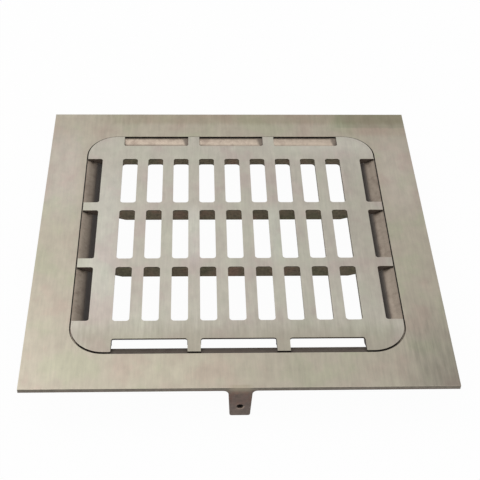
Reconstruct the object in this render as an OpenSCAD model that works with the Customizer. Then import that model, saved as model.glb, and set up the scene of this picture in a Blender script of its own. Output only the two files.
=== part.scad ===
// Square floor drain top: a flanged frame cast in nickel bronze and the loose slotted grate
// that rests flush in it. Millimetres. X runs to the right, Y to the back, and Z = 0 is the
// level that the four anchor lugs stand on.

/* [Frame] */
// Width of the square flange
flange_w = 304.8; // [296:0.1:320]
// Thickness of the flange
flange_t = 3.6; // [3:0.1:4.5]
// Width of the square opening that takes the grate
opening_w = 243; // [241:0.1:246]
// Corner radius of the opening
opening_r = 25.4; // [22:0.1:30]

/* [Seat] */
// Depth of the flat ledge that the grate rests on
ledge_depth = 1.6; // [1.2:0.1:2]
// Width of the flat ledge
ledge_w = 2.4; // [2:0.1:3]
// Distance from the opening's edge to the inner lip of the seat
seat_w = 8.8; // [8:0.1:9.5]
// Angle at which the seat falls away inside the ledge
seat_angle = 26; // [20:1:28]
// Depth of the skirt below the top surface
skirt_depth = 13; // [11:0.5:16]

/* [Anchor lugs] */
// Depth of the lugs' lower ends below the top surface
lug_depth = 31; // [28:0.5:40]
// Width of a lug just below its fillets
lug_w = 16.6; // [14:0.1:20]
// Thickness of a lug
lug_t = 4; // [3:0.1:5]
// Diameter of the hole in a lug
lug_hole_d = 4.5; // [3.5:0.1:6]
// Depth of the hole's centre below the top surface
lug_hole_depth = 21; // [19:0.5:23]

/* [Grate] */
// Gap all round between a centred grate and the opening
gap = 1.1; // [0.8:0.1:1.3]
// Distance that the grate lies behind the opening's centre
grate_shift = 0.7; // [0:0.1:0.7]
// Distance from one longitudinal bar to the next
bar_pitch = 21.25; // [21:0.05:21.4]
// Width of a bar at the top surface
bar_w = 8.85; // [8:0.05:10]
// Width of the solid rim around the slots
rim_w = 16.9; // [16:0.1:17.5]
// Thickness of the rim and the bars
grate_t = 7; // [6:0.1:8]
// Depth of the main ribs below the top surface
rib_depth = 12; // [10:0.5:14]
// Corner radius of a slot at the top surface
slot_r = 2.5; // [1.5:0.1:3.5]
// Draft angle of the slot walls
draft = 5; // [2:0.5:6]

/* [Bearing lugs of the grate] */
// Width of a bearing lug
bearing_w = 9.4; // [8:0.1:11]
// Length of the flat underside at the tip of a bearing lug
bearing_flat = 2.2; // [2:0.1:2.4]
// Radius of the inner corners of the notches between the lugs
notch_r = 2; // [1:0.1:3]
// Thickness of the grate's edge along the notches
notch_edge_t = 1.4; // [1:0.1:2]

/* [Hidden] */
$fn = 64;

top_z = lug_depth;
flange_half = flange_w / 2;
opening_half = opening_w / 2;

// Lengths by which one solid runs into or past another
bite = 1;
past = 10;

// Seat ring, as distances in from the opening's edge and depths below the top surface
seat_depth = ledge_depth + (seat_w - ledge_w) * tan(seat_angle);
ring_root = 6;
skirt_in = seat_w + 3.2;
skirt_wall = 3.6;
haunch_in = seat_w / 2;
haunch_depth = seat_depth + 2.9;

// Anchor lugs
lug_draft = 2.5;
lug_fillet_r = 3.6;
lug_corner_r = 1.6;
arc_steps = 6;

// Slots: three blocks of three, set out from the middle of the grate
block_pitch = 3 * bar_pitch;
slot_w = bar_pitch - bar_w;
slot_l = block_pitch - bar_w;
block_steps = [-1, 0, 1];
rib_steps = [-0.5, 0.5];

// Grate outline, and the body inside its bearing lugs
grate_half = opening_half - gap;
grate_r = opening_r - gap;
body_half = 1.5 * block_pitch - bar_w / 2 + rim_w;
notch_l = block_pitch - bearing_w;
taper_in = bearing_flat + (grate_t - ledge_depth) / tan(seat_angle);

// Main ribs, kept a hair inside the bars that carry them
rib_inset = 0.05;
rib_full_half = 1.5 * block_pitch - bar_w;
rib_end_half = body_half - 3;

// Points of an arc about a centre, from one angle to another
function arc(centre, radius, from, to) = [
    for (i = [0:arc_steps])
        let (a = from + (to - from) * i / arc_steps)
            centre + radius * [cos(a), sin(a)]
];

// Profile carried round a rounded square. Its points are distances in from the square's
// outline and heights.
module swept_round(half, radius, points) {
    for (turn = [0:90:270]) rotate(turn) {
        translate([radius - half, -half, 0])
            rotate([90, 0, 90])
                linear_extrude(2 * (half - radius)) polygon(points);
        translate([half - radius, radius - half, 0])
            rotate(-90)
                rotate_extrude(angle = 90) polygon([for (p = points) [radius - p[0], p[1]]]);
    }
}

// Upright block with rounded corners, centred on the origin
module rounded_block(size_x, size_y, radius, low, high) {
    translate([-size_x / 2, radius - size_y / 2, low])
        cube([size_x, size_y - 2 * radius, high - low]);
    translate([radius - size_x / 2, -size_y / 2, low])
        cube([size_x - 2 * radius, size_y, high - low]);
    for (sx = [-1, 1], sy = [-1, 1])
        translate([sx * (size_x / 2 - radius), sy * (size_y / 2 - radius), low])
            cylinder(r = radius, h = high - low);
}

// Flange plate with its opening
module flange_plate() {
    difference() {
        translate([-flange_half, -flange_half, -flange_t])
            cube([flange_w, flange_w, flange_t]);
        rounded_block(opening_w, opening_w, opening_r, -flange_t - past, past);
    }
}

// Ledge, sloping seat and skirt round the opening, grown out of the flange's underside
module seat_ring() {
    swept_round(opening_half, opening_r, [
        [-ring_root, -ledge_depth],
        [ledge_w, -ledge_depth],
        [seat_w, -seat_depth],
        [skirt_in, -skirt_depth],
        [skirt_in - skirt_wall, -skirt_depth],
        [haunch_in, -haunch_depth],
        [-ring_root, -(ledge_depth + flange_t) / 2]
    ]);
}

// Outline of an anchor lug, seen from the front, from inside the flange to its lower end
function lug_outline() =
    let (root = lug_w / 2 + lug_fillet_r,
         tip = lug_w / 2 - (lug_depth - flange_t - lug_fillet_r) * tan(lug_draft),
         right = concat(
            [[root, -flange_t / 2]],
            arc([root, -flange_t - lug_fillet_r], lug_fillet_r, 90, 180),
            arc([tip - lug_corner_r, lug_corner_r - lug_depth], lug_corner_r, 0, -90)))
    concat(right, [for (i = [len(right) - 1:-1:0]) [-right[i][0], right[i][1]]]);

// Anchor lug at the middle of the front edge
module anchor_lug() {
    translate([0, lug_t - flange_half, 0])
        rotate([90, 0, 0])
            linear_extrude(lug_t) polygon(lug_outline());
}

// Hole for the anchor wire or screw through the front lug
module anchor_hole() {
    translate([0, lug_t + past - flange_half, -lug_hole_depth])
        rotate([90, 0, 0])
            cylinder(d = lug_hole_d, h = lug_t + 2 * past);
}

// Frame: flange, seat and four anchor lugs, one casting
module frame() {
    color([0.69, 0.67, 0.61])
        translate([0, 0, top_z])
            difference() {
                union() {
                    flange_plate();
                    seat_ring();
                    for (turn = [0:90:270]) rotate(turn) anchor_lug();
                }
                for (turn = [0:90:270]) rotate(turn) anchor_hole();
            }
}

// Rounded square plate whose underside rises towards its edge, to clear the sloping seat
module grate_plate() {
    inner = grate_half - grate_r;
    edge = [
        [0, 0],
        [0, -ledge_depth],
        [bearing_flat, -ledge_depth],
        [taper_in, -grate_t]
    ];
    section = concat(
        [for (p = edge) [p[0] - grate_half, p[1]]],
        [for (i = [len(edge) - 1:-1:0]) [grate_half - edge[i][0], edge[i][1]]]);
    for (turn = [0, 90]) rotate(turn)
        translate([-inner, 0, 0])
            rotate([90, 0, 90])
                linear_extrude(2 * inner) polygon(section);
    for (sx = [-1, 1], sy = [-1, 1])
        translate([sx * inner, sy * inner, 0])
            rotate_extrude()
                polygon(concat([[0, 0]], [for (p = edge) [grate_r - p[0], p[1]]], [[0, -grate_t]]));
}

// One slot with drafted walls, wider below than above
module slot() {
    low = -grate_t - bite;
    high = bite;
    grow = tan(draft);
    half_w = slot_w / 2;
    half_l = slot_l / 2;
    translate([0, half_l - slot_r, 0])
        rotate([90, 0, 0])
            linear_extrude(2 * (half_l - slot_r))
                polygon([
                    [low * grow - half_w, low], [half_w - low * grow, low],
                    [half_w - high * grow, high], [high * grow - half_w, high]
                ]);
    translate([slot_r - half_w, 0, 0])
        rotate([90, 0, 90])
            linear_extrude(2 * (half_w - slot_r))
                polygon([
                    [low * grow - half_l, low], [half_l - low * grow, low],
                    [half_l - high * grow, high], [high * grow - half_l, high]
                ]);
    for (sx = [-1, 1], sy = [-1, 1])
        translate([sx * (half_w - slot_r), sy * (half_l - slot_r), low])
            cylinder(r1 = slot_r - low * grow, r2 = slot_r - high * grow, h = high - low);
}

// Notch in the front edge, open to the frame, with its bevel under the grate's body
module notch() {
    reach = grate_half - body_half + past;
    translate([0, -body_half - reach / 2, 0])
        rounded_block(notch_l, reach, notch_r, -grate_t - bite, bite);
    translate([-notch_l / 2, -body_half, -notch_edge_t])
        rotate([90, 0, 90])
            linear_extrude(notch_l)
                polygon([[-bite, 0], [0, 0], [grate_t, -grate_t], [-bite, -grate_t]]);
}

// Main rib under the bars between two blocks of slots, running out to a pair of lugs
module main_rib() {
    half_top = bar_w / 2 - rib_inset;
    half_low = half_top - rib_depth * tan(draft);
    intersection() {
        translate([-rib_end_half, 0, 0])
            rotate([90, 0, 90])
                linear_extrude(2 * rib_end_half)
                    polygon([
                        [-half_low, -rib_depth], [half_low, -rib_depth],
                        [half_top, 0], [-half_top, 0]
                    ]);
        translate([0, bar_w, 0])
            rotate([90, 0, 0])
                linear_extrude(2 * bar_w)
                    polygon([
                        [-rib_end_half, -bite], [-rib_end_half, bite - grate_t],
                        [-rib_full_half, -rib_depth], [rib_full_half, -rib_depth],
                        [rib_end_half, bite - grate_t], [rib_end_half, -bite]
                    ]);
    }
}

// Grate: slotted plate on crossed ribs, with bearing lugs and corners that rest on the ledge
module grate() {
    color([0.71, 0.70, 0.65])
        translate([0, grate_shift, top_z]) {
            difference() {
                grate_plate();
                for (row = block_steps, block = block_steps, bar = block_steps)
                    translate([block * block_pitch + bar * bar_pitch, row * block_pitch, 0])
                        slot();
                for (turn = [0:90:270], block = block_steps)
                    rotate(turn)
                        translate([block * block_pitch, 0, 0])
                            notch();
            }
            for (turn = [0, 90], step = rib_steps)
                rotate(turn)
                    translate([0, step * block_pitch, 0])
                        main_rib();
        }
}

frame();
grate();
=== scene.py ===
"""Dresses a square floor drain strainer: a flanged frame and the loose grate that rests in it.

Both are nickel bronze castings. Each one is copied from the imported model, its edges are broken
and rounded as the foundry and the linishing belt leave them, and it gets a finish in layers, from
the as-cast skin up to the linished face. Lengths are in millimetres until they reach a mesh, and
Blender's own unit is the metre.
"""

from __future__ import annotations

import logging
import math
from dataclasses import dataclass
from enum import Enum
from typing import List, Mapping, Optional, Sequence, Tuple, Union

import bmesh
import bpy
from mathutils import Matrix, Vector

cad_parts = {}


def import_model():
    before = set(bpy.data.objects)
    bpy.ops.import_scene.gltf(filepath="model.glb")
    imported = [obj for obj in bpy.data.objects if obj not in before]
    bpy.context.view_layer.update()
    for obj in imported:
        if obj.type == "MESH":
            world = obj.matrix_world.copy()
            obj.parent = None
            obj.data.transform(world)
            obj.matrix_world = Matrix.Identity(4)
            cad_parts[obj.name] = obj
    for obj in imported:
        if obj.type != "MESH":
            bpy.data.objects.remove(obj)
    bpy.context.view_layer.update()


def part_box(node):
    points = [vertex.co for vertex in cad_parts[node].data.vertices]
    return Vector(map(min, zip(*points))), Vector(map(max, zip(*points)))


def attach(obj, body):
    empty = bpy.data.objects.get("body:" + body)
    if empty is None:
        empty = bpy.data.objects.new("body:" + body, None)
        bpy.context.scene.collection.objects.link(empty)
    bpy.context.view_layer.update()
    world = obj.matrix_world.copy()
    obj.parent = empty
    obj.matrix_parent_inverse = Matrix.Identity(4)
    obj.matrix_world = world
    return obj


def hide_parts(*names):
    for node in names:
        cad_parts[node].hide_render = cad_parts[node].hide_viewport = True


LOG = logging.getLogger("drain_strainer")

MM = 0.001
IMAGE_SIDE = 480

SCREEN_TOE = 0.04045
SCREEN_SLOPE = 12.92
SCREEN_LIFT = 0.055
SCREEN_POWER = 2.4
NOISE_MIDDLE = 0.5

Triple = Tuple[float, float, float]
# Two levels of a value: where a step starts, and where it ends
Span = Tuple[float, float]

WHITE: Triple = (1.0, 1.0, 1.0)
ORIGIN: Triple = (0.0, 0.0, 0.0)


def linear(level: int) -> float:
    """Undoes the screen's curve for one channel of a colour.

    Args:
        level: The channel as a screen shows it, from 0 to 255.

    Returns:
        Its linear value, from 0 to 1.
    """
    share = level / 255
    if share <= SCREEN_TOE:
        return share / SCREEN_SLOPE
    return ((share + SCREEN_LIFT) / (1.0 + SCREEN_LIFT)) ** SCREEN_POWER


def paint(red: int, green: int, blue: int) -> Triple:
    """Turns a colour as a screen shows it into the linear values that shaders use.

    Args:
        red: Red, from 0 to 255.
        green: Green, from 0 to 255.
        blue: Blue, from 0 to 255.

    Returns:
        The linear red, green and blue, each from 0 to 1.
    """
    return linear(red), linear(green), linear(blue)


def even(per_mm: float) -> Triple:
    """Returns a pattern's cells per millimetre for one that is alike in all directions."""
    return per_mm, per_mm, per_mm


class Mixing(Enum):
    """Ways in which one colour goes over another."""

    COVER = "MIX"
    MULTIPLY = "MULTIPLY"


class Plane(Enum):
    """Planes in which a distance is measured, as factors for X, Y and Z."""

    LEVEL = (1.0, 1.0, 0.0)
    FRONT = (1.0, 0.0, 1.0)
    SIDE = (0.0, 1.0, 1.0)


class Wire:
    """An output socket in a node tree. Arithmetic on it adds Math nodes."""

    def __init__(self, sheet: NodeSheet, socket: bpy.types.NodeSocket) -> None:
        """Wraps a socket.

        Args:
            sheet: The node sheet that the socket belongs to.
            socket: The output socket.
        """
        self.sheet = sheet
        self.socket = socket

    def __add__(self, other: Value) -> Wire:
        """Adds a number or a wire."""
        return self.sheet.math("ADD", self, other)

    def __radd__(self, other: Value) -> Wire:
        """Adds to a number."""
        return self.sheet.math("ADD", other, self)

    def __sub__(self, other: Value) -> Wire:
        """Takes a number or a wire away."""
        return self.sheet.math("SUBTRACT", self, other)

    def __rsub__(self, other: Value) -> Wire:
        """Takes this wire away from a number."""
        return self.sheet.math("SUBTRACT", other, self)

    def __mul__(self, other: Value) -> Wire:
        """Multiplies by a number or a wire."""
        return self.sheet.math("MULTIPLY", self, other)

    def __rmul__(self, other: Value) -> Wire:
        """Multiplies a number."""
        return self.sheet.math("MULTIPLY", other, self)


Value = Union[Wire, float, Sequence[float]]


def blend(weights: Sequence[float], wires: Sequence[Wire]) -> Wire:
    """Adds wires up, each times a weight of its own.

    Args:
        weights: The weights.
        wires: As many wires.

    Returns:
        The weighted sum.
    """
    first, *rest = (weight * wire for weight, wire in zip(weights, wires))
    return sum(rest, first)


class NodeSheet:
    """A node tree while it is being written."""

    def __init__(self, tree: bpy.types.NodeTree) -> None:
        """Empties a tree and takes it over.

        Args:
            tree: The node tree of a material or a world.
        """
        self.tree = tree
        self.tree.nodes.clear()

    def node(
        self,
        kind: str,
        settings: Optional[Mapping[str, object]] = None,
        sockets: Optional[Mapping[Union[str, int], Value]] = None,
    ) -> bpy.types.Node:
        """Adds a node, chooses its settings and feeds its sockets.

        Args:
            kind: The node's type, such as ShaderNodeTexNoise.
            settings: Values of the node's own settings. They are set first.
            sockets: Values or wires for its inputs, by name or place.

        Returns:
            The new node.
        """
        made = self.tree.nodes.new(kind)
        for name, setting in (settings or {}).items():
            setattr(made, name, setting)
        for key, value in (sockets or {}).items():
            self.feed(made.inputs[key], value)
        return made

    def feed(self, target: bpy.types.NodeSocket, value: Value) -> None:
        """Gives an input socket a wire or a fixed value.

        Args:
            target: The input socket.
            value: A wire, a number, or a colour or vector. A colour gets its alpha here.
        """
        if isinstance(value, Wire):
            self.tree.links.new(value.socket, target)
        elif isinstance(value, (int, float)):
            target.default_value = value
        else:
            target.default_value = (*value, 1.0)[:len(target.default_value)]

    def wire(
        self,
        kind: str,
        settings: Optional[Mapping[str, object]] = None,
        sockets: Optional[Mapping[Union[str, int], Value]] = None,
        output: Union[str, int] = 0,
    ) -> Wire:
        """Adds a node and returns one of its outputs.

        Args:
            kind: The node's type.
            settings: Values of the node's own settings.
            sockets: Values or wires for its inputs.
            output: The output's name or place.

        Returns:
            That output as a wire.
        """
        return Wire(self, self.node(kind, settings, sockets).outputs[output])

    def math(self, operation: str, *terms: Value) -> Wire:
        """Works out one number from others with a Math node.

        Args:
            operation: The Math node's operation.
            *terms: Its one to three terms.

        Returns:
            The result.
        """
        return self.wire("ShaderNodeMath", {"operation": operation}, dict(enumerate(terms)))

    def vector(self, operation: str, *terms: Value) -> Wire:
        """Works out a vector, or a vector's length, with a Vector Math node.

        Args:
            operation: The Vector Math node's operation.
            *terms: Its one to three terms.

        Returns:
            The result.
        """
        result = "Value" if operation in ("LENGTH", "DOT_PRODUCT") else "Vector"
        settings = {"operation": operation}
        return self.wire("ShaderNodeVectorMath", settings, dict(enumerate(terms)), result)

    def scaled(self, vector: Value, factor: Value) -> Wire:
        """Scales a vector, or makes a colour lighter or darker.

        Args:
            vector: The vector or colour.
            factor: Factor for all three of its values.

        Returns:
            The vector or colour times the factor.
        """
        return self.wire(
            "ShaderNodeVectorMath", {"operation": "SCALE"}, {0: vector, "Scale": factor}
        )

    def step(self, value: Value, span: Span) -> Wire:
        """Rises smoothly from 0 to 1 while a value goes from one level to another.

        Args:
            value: The value.
            span: Levels at which the step starts and ends, in either order.

        Returns:
            The step, from 0 to 1.
        """
        start, end = span
        return self.wire(
            "ShaderNodeMapRange",
            {"interpolation_type": "SMOOTHSTEP"},
            {"Value": value, "From Min": start, "From Max": end},
        )

    def mix(self, share: Value, under: Value, over: Value, mixing: Mixing = Mixing.COVER) -> Wire:
        """Puts one colour over another.

        Args:
            share: How much of the upper colour shows, from 0 to 1.
            under: The lower colour.
            over: The upper colour.
            mixing: How the two are mixed.

        Returns:
            The mixed colour.
        """
        factor, lower, upper, result = 0, 6, 7, 2
        return self.wire(
            "ShaderNodeMix",
            {"data_type": "RGBA", "blend_type": mixing.value, "clamp_factor": True},
            {factor: share, lower: under, upper: over},
            result,
        )


@dataclass(frozen=True)
class Layer:
    """One finish as the wires and values that a surface needs."""

    colour: Value
    roughness: Value
    metallic: Value
    relief: Value

    def under(self, sheet: NodeSheet, share: Wire, upper: Layer) -> Layer:
        """Lays another finish over this one.

        Args:
            sheet: The node sheet.
            share: Where the upper finish shows.
            upper: The upper finish.

        Returns:
            The finish that shows.
        """
        rest = 1.0 - share
        return Layer(
            colour=sheet.mix(share, self.colour, upper.colour),
            roughness=self.roughness * rest + upper.roughness * share,
            metallic=self.metallic * rest + upper.metallic * share,
            relief=self.relief * rest + upper.relief * share,
        )


class Spot:
    """Where a shaded point lies on its casting, in millimetres."""

    def __init__(self, sheet: NodeSheet, top: float) -> None:
        """Reads the point's place.

        Args:
            sheet: The node sheet.
            top: Height of the casting's face.
        """
        self.sheet = sheet
        coordinates = sheet.node("ShaderNodeTexCoord")
        self.place = sheet.scaled(Wire(sheet, coordinates.outputs["Object"]), 1 / MM)
        axes = sheet.node("ShaderNodeSeparateXYZ", None, {0: self.place})
        self.x = Wire(sheet, axes.outputs["X"])
        self.y = Wire(sheet, axes.outputs["Y"])
        self.depth = top - Wire(sheet, axes.outputs["Z"])
        normal = Wire(sheet, coordinates.outputs["Normal"])
        self.facing_up = sheet.wire("ShaderNodeSeparateXYZ", None, {0: normal}, "Z")


@dataclass(frozen=True)
class Grain:
    """A noise pattern of soft cells.

    It has its cells per millimetre along X, Y and Z, its shift in cells, the number of its finer
    layers and their strength.
    """

    per_mm: Triple
    shift: float = 0.0
    detail: float = 2.0
    roughness: float = 0.5

    def on(self, spot: Spot, seed: float = 0.0) -> Wire:
        """Writes the pattern on a casting.

        Args:
            spot: The shaded point.
            seed: Further shift, so that the same finish isn't alike on two castings.

        Returns:
            The noise about 0, mostly from -0.5 to 0.5.
        """
        cells = spot.sheet.vector("MULTIPLY_ADD", spot.place, self.per_mm, even(self.shift + seed))
        return spot.sheet.wire(
            "ShaderNodeTexNoise",
            {"noise_dimensions": "3D"},
            {"Vector": cells, "Scale": 1.0, "Detail": self.detail, "Roughness": self.roughness},
        ) - NOISE_MIDDLE


@dataclass(frozen=True)
class Opening:
    """The frame's square opening and its round corners."""

    width: float = 243.0
    corner: float = 25.4

    @property
    def half(self) -> float:
        """Returns the distance from the middle to a wall."""
        return self.width / 2

    def inward(self, spot: Spot) -> Wire:
        """Measures how far in from the opening's edge a point lies.

        Args:
            spot: The shaded point.

        Returns:
            The distance. It is below 0 outside the opening and at most the corners' radius.
        """
        sheet = spot.sheet
        straight = self.half - self.corner
        folded = sheet.vector("ABSOLUTE", spot.place)
        beyond = sheet.vector("SUBTRACT", folded, (straight, straight, 0.0))
        beyond = sheet.vector("MAXIMUM", beyond, ORIGIN)
        level = sheet.vector("MULTIPLY", beyond, Plane.LEVEL.value)
        return self.corner - sheet.vector("LENGTH", level)


@dataclass(frozen=True)
class LugHole:
    """The hole that each anchor lug has at its middle, at the same height in all four."""

    height: float = 10.0
    radius: float = 2.25

    def outward(self, spot: Spot, plane: Plane) -> Wire:
        """Measures how far out from the hole's wall a point lies.

        Args:
            spot: The shaded point.
            plane: The plane across the hole.

        Returns:
            The distance, below 0 inside the hole.
        """
        around = spot.sheet.vector("SUBTRACT", spot.place, (0.0, 0.0, self.height))
        across = spot.sheet.vector("MULTIPLY", around, plane.value)
        return spot.sheet.vector("LENGTH", across) - self.radius


@dataclass(frozen=True)
class PaintedReflectionPatch:
    """Painted reflection: an oblong patch of the face made darker or brighter than the rest, where
    the light reflects less or more.

    Its middle, its half widths and the width of its soft edge are along X and Y. The tint
    multiplies the face's colour.
    """

    middle: Tuple[float, float]
    half: Tuple[float, float]
    fade: Tuple[float, float]
    tint: Triple

    def share(self, spot: Spot, ragged: Wire) -> Wire:
        """Writes where the patch is.

        Args:
            spot: The shaded point.
            ragged: Noise that shifts the patch's outline.

        Returns:
            The patch's strength, from 0 to 1.
        """
        sheet = spot.sheet
        strength: Value = 1.0
        for place, middle, half, fade in zip((spot.x, spot.y), self.middle, self.half, self.fade):
            off = sheet.math("ABSOLUTE", place - middle) + fade * ragged
            strength = strength * sheet.step(off, (half + fade, half - fade))
        return strength


@dataclass(frozen=True)
class CastSkin:
    """Oxidised skin from the sand mould, on walls, lugs and undersides. It lies under all coats.

    Just below the linished face it has another tone. On the frame it is a lighter tone from the
    belt's residue; on the grate it is a darker one, painted shade under the face's edge. The lower
    ends of the lugs are greyer. The gains are those of sand, pits and blotches.
    """

    skin: Triple = paint(108, 92, 84)
    rust: Triple = paint(112, 86, 75)
    olive: Triple = paint(92, 86, 71)
    dust_and_shade: Triple = paint(124, 116, 105)
    low: Triple = paint(116, 104, 97)
    sand: Grain = Grain(even(1.0), 2.2, 4.0, 0.6)
    pits: Grain = Grain(even(0.45), 8.1)
    blotches: Grain = Grain(even(0.12), 6.6, 3.0, 0.6)
    rusty: Span = (0.0, 0.2)
    olive_green: Span = (0.0, -0.2)
    dust_and_shade_depth: Span = (5.5, 5.5 / 3)
    low_depth: Span = (15.0, 23.0)
    low_share: float = 0.8
    mottling: float = 0.7
    gains: Triple = (0.6, 0.9, 0.6)
    roughness: float = 0.7
    sand_roughness: float = 0.2
    metallic: float = 0.35
    sand_relief: float = 0.08
    pit_relief: float = 0.15
    pitted: Span = (-0.12, -0.22)

    def layer(self, spot: Spot) -> Layer:
        """Writes the finish.

        Args:
            spot: The shaded point.

        Returns:
            The layer.
        """
        sheet = spot.sheet
        sand, pits, blotches = (grain.on(spot) for grain in (self.sand, self.pits, self.blotches))
        colour = sheet.mix(sheet.step(blotches, self.rusty), self.skin, self.rust)
        colour = sheet.mix(sheet.step(blotches, self.olive_green), colour, self.olive)
        # Tone just below the face: belt residue on the frame, painted shade on the grate
        colour = sheet.mix(sheet.step(spot.depth, self.dust_and_shade_depth), colour, self.dust_and_shade)
        low = self.low_share * sheet.step(spot.depth, self.low_depth)
        colour = sheet.mix(low, colour, self.low)
        gain = 1.0 + self.mottling * blend(self.gains, (sand, pits, blotches))
        return Layer(
            colour=sheet.scaled(colour, gain),
            roughness=self.roughness + self.sand_roughness * sand,
            metallic=self.metallic,
            relief=self.sand_relief * sand - self.pit_relief * sheet.step(pits, self.pitted),
        )


@dataclass(frozen=True)
class Coat:
    """A finish that shows on one part of a casting, over the cast skin."""

    def share(self, spot: Spot) -> Wire:
        """Returns where the finish shows, from 0 to 1."""
        raise NotImplementedError

    def layer(self, spot: Spot) -> Layer:
        """Returns the finish itself."""
        raise NotImplementedError


@dataclass(frozen=True)
class BlastedSeat(Coat):
    """Upward faces inside the frame: blasted bare, never ground, a little rosy.

    The seat along the back is painted brighter than the other three, as painted light from above,
    and the other three are painted brighter close to the opening's wall, as painted light on their
    outer part.
    The gains are those of grain, streaks and mottle.
    """

    metal: Triple = paint(167, 154, 140)
    dull: Triple = paint(147, 133, 121)
    grain: Grain = Grain(even(1.3), 1.9, 3.0, 0.65)
    streaks: Grain = Grain((0.5, 0.05, 0.3), 5.2)
    mottle: Grain = Grain(even(0.40), 7.7, 3.0, 0.7)
    blotches: Grain = Grain(even(0.11), 4.4, 3.0, 0.6)
    gains: Triple = (0.30, 0.20, 0.45)
    dulled: Span = (-0.05, 0.25)
    upward: Span = (0.2, 0.4)
    opening: Opening = Opening()
    painted_back_light: float = 0.58
    painted_back_light_y: Span = (104.0, 112.0)
    painted_wall_light: float = 0.20
    painted_wall_light_in: Span = (4.5, 0.8)
    roughness: float = 0.38
    grain_roughness: float = 0.12
    grain_relief: float = 0.04

    def share(self, spot: Spot) -> Wire:
        """Shows where the surface faces up."""
        return spot.sheet.step(spot.facing_up, self.upward)

    def layer(self, spot: Spot) -> Layer:
        """Writes the finish.

        Args:
            spot: The shaded point.

        Returns:
            The layer.
        """
        sheet = spot.sheet
        grain, streaks, mottle = (one.on(spot) for one in (self.grain, self.streaks, self.mottle))
        dulled = sheet.step(self.blotches.on(spot), self.dulled)
        # Painted light: brighter back seat, and brighter seats close to the opening's wall
        painted_back_light = self.painted_back_light * sheet.step(spot.y, self.painted_back_light_y)
        painted_wall_light = self.painted_wall_light * sheet.step(self.opening.inward(spot), self.painted_wall_light_in)
        gain = 1.0 + blend(self.gains, (grain, streaks, mottle))
        gain = gain * (1.0 + painted_back_light + (1.0 - painted_back_light) * painted_wall_light)
        return Layer(
            colour=sheet.scaled(sheet.mix(dulled, self.metal, self.dull), gain),
            roughness=self.roughness + self.grain_roughness * grain,
            metallic=1.0,
            relief=self.grain_relief * grain,
        )


@dataclass(frozen=True)
class PaintedDrainShade(Coat):
    """Painted shade in the opening: in the corner under its wall, in front, and from the lip down,
    where the grate shades the seat.

    It reaches a little further out on the left than on the right, it lies as a painted shadow
    against one side of each lug of the grate along the back, and it is darkest in the gap. Spans
    are distances in from the opening's edge or wall, except for a lug's side, which is measured
    from the middle of its block of slots, and for what faces down.
    """

    painted_shade: Triple = paint(60, 51, 46)
    flecks: Grain = Grain(even(0.8), 3.3, 3.0, 0.6)
    fleck_gain: float = 0.4
    opening: Opening = Opening()
    corner_shade: Span = (0.9, 0.3)
    past_lip: Span = (5.6, 10.6)
    lip_share: float = 0.95
    lean: float = 0.006
    in_front: Span = (12.0, 8.0)
    front_share: float = 0.8
    at_back: Span = (12.0, 10.0)
    block: float = 63.75
    lug_side: Span = (20.0, 23.0)
    lug_slant: float = 0.4
    lug_share: float = 0.55
    below_edge: Span = (-0.5, -0.2)
    not_down: Span = (-0.4, -0.2)
    in_gap: Span = (2.3, 1.5)
    gap_shade: float = 0.8
    roughness: float = 0.75
    fleck_relief: float = 0.05

    def share(self, spot: Spot) -> Wire:
        """Writes where the painted shade lies: in those places, and on no underside.

        Args:
            spot: The shaded point.

        Returns:
            How much of the painted shade shows, from 0 to 1.
        """
        sheet = spot.sheet
        inward = self.opening.inward(spot)
        # Painted shade past the seat's lip, in front, in the corner under the wall, and painted
        # shadow beside the back lugs
        past_lip = self.lip_share * sheet.step(inward - self.lean * spot.x, self.past_lip)
        in_front = self.front_share * sheet.step(spot.y + self.opening.half, self.in_front)
        along = sheet.math("WRAP", spot.x, self.block / 2, -self.block / 2)
        beside_lug = sheet.step(along - self.lug_slant * inward, self.lug_side)
        at_back = sheet.step(self.opening.half - spot.y, self.at_back)
        in_shade = sheet.step(inward, self.corner_shade)
        for part in (past_lip, in_front, self.lug_share * beside_lug * at_back):
            in_shade = sheet.math("MAXIMUM", in_shade, part)
        below_edge = sheet.step(inward, self.below_edge)
        return in_shade * below_edge * sheet.step(spot.facing_up, self.not_down)

    def layer(self, spot: Spot) -> Layer:
        """Writes the finish.

        Args:
            spot: The shaded point.

        Returns:
            The layer.
        """
        sheet = spot.sheet
        flecks = self.flecks.on(spot)
        lit = 1.0 - self.gap_shade * sheet.step(self.opening.inward(spot), self.in_gap)
        return Layer(
            colour=sheet.scaled(self.painted_shade, (1.0 + self.fleck_gain * flecks) * lit),
            roughness=self.roughness,
            metallic=0.0,
            relief=self.fleck_relief * flecks,
        )


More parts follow.
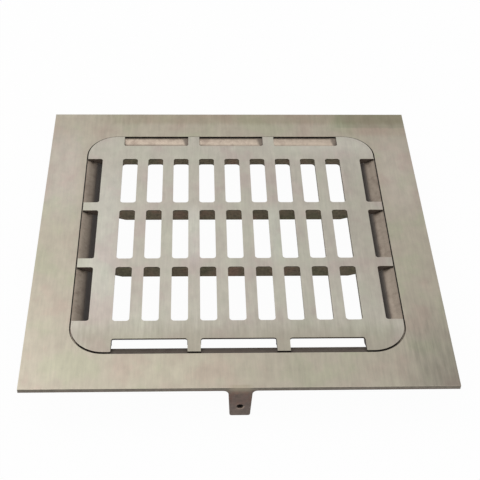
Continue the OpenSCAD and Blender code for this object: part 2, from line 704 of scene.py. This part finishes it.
@dataclass(frozen=True)
class LinishedFace(Coat):
    """Satin face left by an abrasive belt that ran from front to back.

    The belt leaves fine scratches and wider bands along Y. Handling and the alloy's own tarnish
    leave soft clouds, some rosy and some greenish. Its patches are painted reflection, darker or
    brighter where the light reflects less or more.
    The gains are those of the five patterns in their order. The scratches and clouds change the
    roughness, and the scratches and streaks the relief.
    """

    metal: Triple = paint(210, 201, 183)
    rosy: Triple = paint(214, 199, 183)
    green: Triple = paint(203, 199, 177)
    scratches: Grain = Grain((2.0, 0.10, 0.4), 0.0, 3.0, 0.6)
    streaks: Grain = Grain((0.50, 0.045, 0.1), 7.3)
    bands: Grain = Grain((0.10, 0.020, 0.05), 3.1)
    clouds: Grain = Grain((0.035, 0.030, 0.03), 5.7, 3.0, 0.55)
    mottle: Grain = Grain((0.13, 0.09, 0.10), 9.9, 3.0, 0.6)
    gains: Tuple[float, ...] = (0.15, 0.18, 0.16, 0.24, 0.26)
    rosy_clouds: Span = (0.02, -0.16)
    green_clouds: Span = (0.02, 0.18)
    face_depth: Span = (0.3, 0.2)
    seed: float = 0.0
    patches: Tuple[PaintedReflectionPatch, ...] = ()
    roughness: float = 0.40
    roughening: Tuple[float, float] = (0.10, 0.08)
    relief: Tuple[float, float] = (0.010, 0.012)

    def share(self, spot: Spot) -> Wire:
        """Shows on the face and just over its edges."""
        return spot.sheet.step(spot.depth, self.face_depth)

    def layer(self, spot: Spot) -> Layer:
        """Writes the finish.

        Args:
            spot: The shaded point.

        Returns:
            The layer.
        """
        sheet = spot.sheet
        grains = (self.scratches, self.streaks, self.bands, self.clouds, self.mottle)
        patterns = [grain.on(spot, self.seed) for grain in grains]
        scratches, streaks, bands, clouds, _ = patterns
        colour = sheet.mix(sheet.step(clouds, self.rosy_clouds), self.metal, self.rosy)
        colour = sheet.mix(sheet.step(clouds, self.green_clouds), colour, self.green)
        ragged = streaks + bands
        for patch in self.patches:
            colour = sheet.mix(patch.share(spot, ragged), colour, patch.tint, Mixing.MULTIPLY)
        return Layer(
            colour=sheet.scaled(colour, 1.0 + blend(self.gains, patterns)),
            roughness=self.roughness + blend(self.roughening, (scratches, clouds)),
            metallic=1.0,
            relief=blend(self.relief, (scratches, streaks)),
        )


@dataclass(frozen=True)
class RolledEdge(LinishedFace):
    """Where the belt has run over the front edge, above the front lug."""

    metal: Triple = paint(192, 180, 152)
    rosy: Triple = paint(194, 178, 152)
    green: Triple = paint(186, 177, 146)
    half_width: Span = (11.0, 4.0)
    reach: Span = (9.0, 0.0)
    front_y: Span = (-149.5, -150.5)
    strength: float = 0.36

    def share(self, spot: Spot) -> Wire:
        """Writes where it shows: on the front face near its middle, less the lower it gets.

        Args:
            spot: The shaded point.

        Returns:
            How much of it shows, from 0 to 1.
        """
        sheet = spot.sheet
        across = sheet.step(sheet.math("ABSOLUTE", spot.x), self.half_width)
        down = sheet.step(spot.depth, self.reach)
        return self.strength * across * down * sheet.step(spot.y, self.front_y)


@dataclass(frozen=True)
class PaintedHoleHighlight(Coat):
    """Painted highlight: the half ring under the lower rim of the front lug's hole, made bright
    where its rounded edge catches the light.
    """

    metal: Triple = paint(178, 158, 142)
    hole: LugHole = LugHole()
    ring: Span = (1.3, 0.2)
    low_depth: Span = (21.0, 22.5)
    slant: float = 0.4
    front_y: Span = (-151.2, -151.8)
    strength: float = 0.7
    roughness: float = 0.5
    metallic: float = 0.8

    def share(self, spot: Spot) -> Wire:
        """Writes where it shows: in a half ring below the hole, on the lug's front.

        Args:
            spot: The shaded point.

        Returns:
            How much of it shows, from 0 to 1.
        """
        sheet = spot.sheet
        ring = sheet.step(self.hole.outward(spot, Plane.FRONT), self.ring)
        low = sheet.step(spot.depth + self.slant * spot.x, self.low_depth)
        return self.strength * ring * low * sheet.step(spot.y, self.front_y)

    def layer(self, spot: Spot) -> Layer:
        """Returns the plain bright metal of the painted highlight."""
        return Layer(self.metal, self.roughness, self.metallic, 0.0)


@dataclass(frozen=True)
class PaintedHoleShade(Coat):
    """Painted shade in the holes of the four lugs."""

    painted_shade: Triple = paint(30, 26, 24)
    hole: LugHole = LugHole()
    within: Span = (0.35, 0.05)
    roughness: float = 0.85

    def share(self, spot: Spot) -> Wire:
        """Writes where it shows: on the wall of each hole, but not on the lugs' outer faces.

        Args:
            spot: The shaded point.

        Returns:
            How much of it shows, from 0 to 1.
        """
        front_and_back, sides = (
            spot.sheet.step(self.hole.outward(spot, plane), self.within)
            for plane in (Plane.FRONT, Plane.SIDE)
        )
        return spot.sheet.math("MAXIMUM", front_and_back, sides)

    def layer(self, spot: Spot) -> Layer:
        """Returns plain dark painted shade."""
        return Layer(self.painted_shade, self.roughness, 0.0, 0.0)


@dataclass(frozen=True)
class CastingFinish:
    """Whole finish of a casting: its skin, and its coats from the lowest to the uppermost."""

    name: str
    top: float
    skin: CastSkin
    coats: Tuple[Coat, ...]

    def material(self) -> bpy.types.Material:
        """Writes the material.

        Returns:
            The new material.
        """
        material = bpy.data.materials.new(self.name)
        material.use_nodes = True
        sheet = NodeSheet(material.node_tree)
        spot = Spot(sheet, self.top)
        shown = self.skin.layer(spot)
        for coat in self.coats:
            shown = shown.under(sheet, coat.share(spot), coat.layer(spot))
        bump = sheet.wire(
            "ShaderNodeBump", None, {"Strength": 1.0, "Distance": MM, "Height": shown.relief}
        )
        surface = sheet.wire(
            "ShaderNodeBsdfPrincipled",
            None,
            {
                "Base Color": shown.colour,
                "Roughness": shown.roughness,
                "Metallic": shown.metallic,
                "Normal": bump,
            },
        )
        sheet.node("ShaderNodeOutputMaterial", None, {"Surface": surface})
        return material


@dataclass(frozen=True)
class Casting:
    """A casting of the strainer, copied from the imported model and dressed.

    Its arris is the broken edge of its face, its fillet rounds inner corners deeper than
    sharp_depth, and its lip rounds edges that are open on both sides and no steeper than steep.
    All other edges that turn by more than its crease are rounded by rounded.
    """

    node: str
    piece: str
    slot: str
    skin: CastSkin
    coats: Tuple[Coat, ...]
    arris: float = 0.2
    rounded: float = 0.5
    fillet: float = 0.7
    lip: float = 2.0
    sharp_depth: float = 2.5
    crease: float = math.radians(38)
    steep: float = math.radians(60)
    upward: float = 0.1
    flatness: float = math.radians(0.4)
    body: str = "root"
    segments: int = 2
    weld: float = 0.002

    def build(self) -> bpy.types.Object:
        """Makes the dressed casting.

        Returns:
            The piece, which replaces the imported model's node.
        """
        piece = self.copy_node()
        self.weld_faces()
        self.weigh_edges(piece)
        self.round_edges(piece)
        self.shade(piece)
        self.dress(piece)
        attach(piece, self.body)
        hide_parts(self.node)
        LOG.info("%s: %d faces", piece.name, len(piece.data.polygons))
        return piece

    def copy_node(self) -> bpy.types.Object:
        """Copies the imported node's mesh into a piece of its own.

        Returns:
            The copy, active and the only object selected.
        """
        source = bpy.data.objects[self.node]
        piece = bpy.data.objects.new(self.piece, source.data.copy())
        piece.data.name = self.piece
        bpy.context.scene.collection.objects.link(piece)
        bpy.ops.object.select_all(action="DESELECT")
        piece.select_set(True)
        bpy.context.view_layer.objects.active = piece
        return piece

    def weld_faces(self) -> None:
        """Joins the active copy's loose triangles and dissolves those that lie in one plane."""
        bpy.ops.mesh.customdata_custom_splitnormals_clear()
        bpy.ops.object.mode_set(mode="EDIT")
        bpy.ops.mesh.select_all(action="SELECT")
        bpy.ops.mesh.remove_doubles(threshold=self.weld * MM)
        bpy.ops.mesh.dissolve_limited(angle_limit=self.flatness)
        bpy.ops.object.mode_set(mode="OBJECT")

    def rounding(self, edge: bmesh.types.BMEdge, top: float) -> float:
        """Chooses how far an edge is rounded.

        Args:
            edge: The edge.
            top: Height of the casting's face, in metres.

        Returns:
            The rounding in millimetres, 0 for none.
        """
        if len(edge.link_faces) != 2:
            return 0.0
        turn = edge.calc_face_angle_signed(0.0)
        if abs(turn) < self.crease:
            return 0.0
        depth = top - min(corner.co.z for corner in edge.verts)
        if turn < 0:
            return self.fillet if depth > self.sharp_depth * MM else 0.0
        if depth < self.weld * MM:
            return self.arris
        upward = all(face.normal.z > self.upward for face in edge.link_faces)
        return self.lip if turn < self.steep and upward else self.rounded

    def weigh_edges(self, piece: bpy.types.Object) -> None:
        """Writes each edge's rounding as a bevel weight.

        Args:
            piece: The welded casting.
        """
        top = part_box(self.node)[1].z
        mesh = bmesh.new()
        mesh.from_mesh(piece.data)
        weight = mesh.edges.layers.float.new("bevel_weight_edge")
        for edge in mesh.edges:
            edge[weight] = self.rounding(edge, top) / self.lip
        mesh.to_mesh(piece.data)
        mesh.free()

    def round_edges(self, piece: bpy.types.Object) -> None:
        """Rounds the weighted edges.

        Args:
            piece: The casting with its bevel weights.
        """
        bpy.ops.object.modifier_add(type="BEVEL")
        bevel = piece.modifiers[-1]
        bevel.limit_method = "WEIGHT"
        bevel.width = self.lip * MM
        bevel.segments = self.segments
        bevel.use_clamp_overlap = True
        bevel.miter_outer = "MITER_SHARP"
        bpy.ops.object.modifier_apply(modifier=bevel.name)

    def shade(self, piece: bpy.types.Object) -> None:
        """Smooths the rounded edges and keeps the flats flat.

        Args:
            piece: The rounded casting.
        """
        bpy.ops.object.shade_smooth_by_angle(angle=self.crease)
        bpy.ops.object.modifier_add(type="WEIGHTED_NORMAL")
        weighted = piece.modifiers[-1]
        weighted.keep_sharp = True
        bpy.ops.object.modifier_apply(modifier=weighted.name)

    def dress(self, piece: bpy.types.Object) -> None:
        """Gives the casting its finish.

        Args:
            piece: The shaded casting.
        """
        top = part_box(self.node)[1].z / MM
        finish = CastingFinish(self.slot, top, self.skin, self.coats)
        piece.data.materials.clear()
        piece.data.materials.append(finish.material())


@dataclass(frozen=True)
class Frame(Casting):
    """The flanged frame, with painted reflection on its face: darker at the back and at the right
    front corner, brighter at the left front and along both sides.
    """

    node: str = "frame"
    piece: str = "frame_casting"
    slot: str = "frame_metal"
    skin: CastSkin = CastSkin()
    coats: Tuple[Coat, ...] = (
        BlastedSeat(),
        PaintedDrainShade(),
        PaintedHoleShade(),
        PaintedHoleHighlight(),
        LinishedFace(patches=(
            # Painted reflection: each patch darkens or brightens the face where the light reflects
            # less or more
            PaintedReflectionPatch((40.0, 155.0), (140.0, 16.0), (30.0, 3.5), (0.86, 0.84, 0.80)),
            PaintedReflectionPatch((130.0, 155.0), (38.0, 21.5), (3.0, 1.5), (0.82, 0.87, 0.83)),
            PaintedReflectionPatch((130.0, 150.0), (32.0, 27.0), (12.0, 4.0), (0.95, 0.91, 0.90)),
            PaintedReflectionPatch((0.0, 138.0), (155.0, 14.0), (10.0, 8.0), (0.98, 0.975, 0.965)),
            PaintedReflectionPatch((150.0, -150.0), (25.0, 45.0), (25.0, 45.0), (0.67, 0.68, 0.68)),
            PaintedReflectionPatch((-40.0, -137.0), (45.0, 16.0), (30.0, 8.0), (1.08, 1.09, 1.07)),
            PaintedReflectionPatch((-140.0, 75.0), (15.0, 50.0), (8.0, 30.0), (1.10, 1.10, 1.16)),
            PaintedReflectionPatch((137.0, 70.0), (13.0, 45.0), (8.0, 25.0), (1.11, 1.10, 1.14)),
        )),
        RolledEdge(),
    )


@dataclass(frozen=True)
class Grate(Casting):
    """The slotted grate, a little brighter than the frame, with painted shade all round its edge.
    """

    node: str = "grate"
    piece: str = "grate_casting"
    slot: str = "grate_metal"
    skin: CastSkin = CastSkin(
        skin=paint(116, 105, 86),
        rust=paint(124, 101, 85),
        olive=paint(106, 103, 78),
        # Painted shade: the grate's walls are darker just below its face
        dust_and_shade=paint(84, 78, 65),
        blotches=Grain(even(0.045), 6.6, 3.0, 0.6),
        dust_and_shade_depth=(1.6, 1.6 / 3),
        mottling=1.1,
    )
    coats: Tuple[Coat, ...] = (
        # Painted shade on the grate's outer ring, its notch walls, in front and in the gap
        PaintedDrainShade(
            painted_shade=paint(74, 62, 53),
            corner_shade=(15.3, 14.7),
            past_lip=(36.8, 41.8),
            front_share=1.0,
            in_gap=(3.2, 2.4),
        ),
        LinishedFace(
            metal=paint(218, 212, 198),
            rosy=paint(221, 209, 198),
            green=paint(214, 211, 195),
            seed=31.0,
            patches=(
                # Painted reflection: darker along the front rim and on the right, brighter at the
                # back right, along two strips and on the left
                PaintedReflectionPatch((0.0, -115.0), (115.0, 18.0), (12.0, 14.0), (0.83, 0.815, 0.775)),
                PaintedReflectionPatch((95.0, 112.0), (50.0, 12.0), (30.0, 10.0), (1.10, 1.10, 1.12)),
                PaintedReflectionPatch((-32.0, 0.0), (6.0, 30.0), (5.0, 10.0), (1.15, 1.16, 1.20)),
                PaintedReflectionPatch((32.0, 0.0), (6.0, 30.0), (5.0, 10.0), (1.04, 1.09, 1.09)),
                PaintedReflectionPatch((-103.0, 0.0), (12.0, 70.0), (8.0, 25.0), (1.08, 1.10, 1.12)),
                PaintedReflectionPatch((103.0, 0.0), (12.0, 70.0), (8.0, 25.0), (0.94, 0.93, 0.92)),
            ),
        ),
    )
    rounded: float = 0.3


@dataclass(frozen=True)
class Strainer:
    """The whole strainer: its frame and its grate."""

    castings: Tuple[Casting, ...] = (Frame(), Grate())

    def build(self) -> None:
        """Builds and dresses both castings."""
        for casting in self.castings:
            casting.build()


@dataclass(frozen=True)
class Floor:
    """Plain pale floor. It shows white, and keeps a faint shadow of the object."""

    width: float = 60000.0
    colour: Triple = (0.9, 0.9, 0.9)
    glow: float = 0.97

    def lay(self) -> None:
        """Lays the floor."""
        bpy.ops.object.select_all(action="DESELECT")
        bpy.ops.mesh.primitive_plane_add(size=self.width * MM)
        floor = bpy.context.active_object
        floor.name = "floor"
        floor.data.materials.append(self.material())

    def material(self) -> bpy.types.Material:
        """Writes the floor's material.

        Returns:
            The new material.
        """
        material = bpy.data.materials.new("floor")
        material.use_nodes = True
        sheet = NodeSheet(material.node_tree)
        rays = sheet.node("ShaderNodeLightPath")
        camera, glossy, through = (
            Wire(sheet, rays.outputs[ray])
            for ray in ("Is Camera Ray", "Is Glossy Ray", "Is Transmission Ray")
        )
        seen = sheet.math("MINIMUM", camera + glossy + through, 1.0)
        matt = sheet.wire("ShaderNodeBsdfDiffuse", None, {"Color": self.colour})
        white = sheet.wire("ShaderNodeEmission", None, {"Color": WHITE, "Strength": 1.0})
        surface = sheet.wire("ShaderNodeMixShader", None, {0: seen * self.glow, 1: matt, 2: white})
        sheet.node("ShaderNodeOutputMaterial", None, {"Surface": surface})
        return material


@dataclass(frozen=True)
class Glow:
    """A soft bright part of the surroundings.

    Its turn runs from the back to the right, and its rise from the floor up, in degrees. The
    higher its focus, the smaller it is.
    """

    turn: float
    rise: float
    strength: float
    focus: float = 12.0

    def radiance(self, sheet: NodeSheet, toward: Wire) -> Wire:
        """Writes how bright the glow is in a direction.

        Args:
            sheet: The world's node sheet.
            toward: The direction, of length 1.

        Returns:
            The glow's share of the radiance.
        """
        turn, rise = math.radians(self.turn), math.radians(self.rise)
        middle = (
            math.sin(turn) * math.cos(rise), math.cos(turn) * math.cos(rise), math.sin(rise)
        )
        nearness = sheet.math("MAXIMUM", sheet.vector("DOT_PRODUCT", toward, middle), 0.0)
        return self.strength * sheet.math("POWER", nearness, self.focus)


@dataclass(frozen=True)
class Dome:
    """Soft surroundings: an even level, a horizon that pales over some degrees, and glows."""

    level: float = 0.35
    horizon: float = 0.5
    pale_rise: float = 6.0
    clear_rise: float = 18.0
    glows: Tuple[Glow, ...] = (
        Glow(0.0, 45.0, 0.054),
        Glow(-40.0, 45.0, 0.230),
        Glow(0.0, 85.0, 0.80),
        Glow(0.0, 22.0, 0.240),
        Glow(180.0, 35.0, 0.65, 4.0),
    )

    def hang(self) -> None:
        """Makes it the scene's world."""
        world = bpy.data.worlds.new("studio")
        world.use_nodes = True
        bpy.context.scene.world = world
        sheet = NodeSheet(world.node_tree)
        toward = sheet.wire("ShaderNodeTexCoord", None, None, "Generated")
        up = sheet.wire("ShaderNodeSeparateXYZ", None, {0: toward}, "Z")
        clear, pale = (
            math.sin(math.radians(rise)) for rise in (self.clear_rise, self.pale_rise)
        )
        total = self.level + self.horizon * sheet.step(up, (clear, pale))
        for glow in self.glows:
            total = total + glow.radiance(sheet, toward)
        light = sheet.wire("ShaderNodeBackground", None, {"Color": WHITE, "Strength": total})
        sheet.node("ShaderNodeOutputWorld", None, {"Surface": light})


@dataclass(frozen=True)
class Softbox:
    """A square area light that looks at the strainer. Its power is in watts."""

    name: str
    place: Triple
    side: float
    power: float

    def hang(self) -> None:
        """Hangs the light."""
        bpy.ops.object.select_all(action="DESELECT")
        bpy.ops.object.light_add(type="AREA", location=Vector(self.place) * MM)
        light = bpy.context.active_object
        light.name = self.name
        light.rotation_euler = Vector(self.place).to_track_quat("Z", "Y").to_euler()
        light.data.size = self.side * MM
        light.data.energy = self.power


@dataclass(frozen=True)
class PhotoCamera:
    """The camera of the photograph, found from the object's own straight edges and corners.

    Its angles are in degrees, and its focal length is in pixels of the image.
    """

    place: Triple = (-30.449, -628.284, 631.816)
    look_down: float = 43.992
    turn: float = -3.171
    roll: float = 2.001
    focal_px: float = 1109.6
    sensor: float = 36.0

    def set_up(self) -> None:
        """Adds the camera and makes it the scene's."""
        bpy.ops.object.select_all(action="DESELECT")
        bpy.ops.object.camera_add()
        camera = bpy.context.active_object
        camera.name = "photo_camera"
        camera.data.sensor_width = self.sensor
        camera.data.lens = self.sensor * self.focal_px / IMAGE_SIDE
        camera.matrix_world = (
            Matrix.Translation(Vector(self.place) * MM)
            @ Matrix.Rotation(math.radians(self.turn), 4, "Z")
            @ Matrix.Rotation(math.radians(90 - self.look_down), 4, "X")
            @ Matrix.Rotation(math.radians(self.roll), 4, "Z")
        )
        bpy.context.scene.camera = camera


@dataclass(frozen=True)
class Studio:
    """Floor, surroundings, lights and camera."""

    floor: Floor = Floor()
    dome: Dome = Dome()
    camera: PhotoCamera = PhotoCamera()
    lights: Tuple[Softbox, ...] = (
        Softbox("key_light", (-900.0, 500.0, 1350.0), 900.0, 5.51),
    )

    def set_up(self) -> None:
        """Sets the studio up."""
        bpy.context.scene.view_settings.view_transform = "Standard"
        self.camera.set_up()
        self.floor.lay()
        self.dome.hang()
        for light in self.lights:
            light.hang()
            LOG.info("%s: %g W", light.name, light.power)


def main() -> None:
    """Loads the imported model, sets the studio up and dresses the strainer."""
    logging.basicConfig(level=logging.INFO, format="%(name)s: %(message)s")
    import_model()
    Studio().set_up()
    Strainer().build()


if __name__ == "__main__":
    main()
